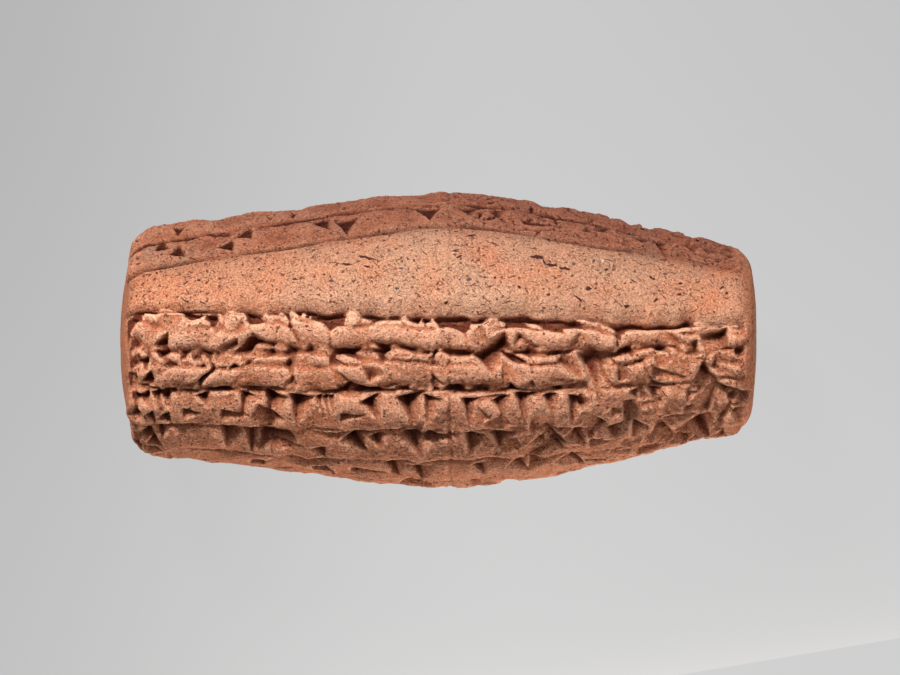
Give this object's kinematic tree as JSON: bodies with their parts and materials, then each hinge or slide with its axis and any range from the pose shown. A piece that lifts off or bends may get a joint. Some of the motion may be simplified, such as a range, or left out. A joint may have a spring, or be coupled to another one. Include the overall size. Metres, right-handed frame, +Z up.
{
  "type": "cuneiform cylinder",
  "caption": "Small barrel-shaped clay cylinder, fired, with lines of wedge strokes round it in two columns and a smooth strip between the last line and the first; lies on its side",
  "frame": {"origin": "centre of the flat that the barrel rests on, on the surface it lies on", "axes": "+X along the barrel from its fuller end to its narrower end, +Z up, +Y towards the upper edge of the smooth strip, which faces up and a little towards +Y"},
  "size_m": [0.1, 0.046, 0.0451],
  "materials": {
    "fired_clay": "matt fired clay, peach to orange, with fine pits, specks and a little dirt in the strokes"
  },
  "bodies": {
    "root": {"clay_barrel": "fired_clay"}
  },
  "joints": []
}
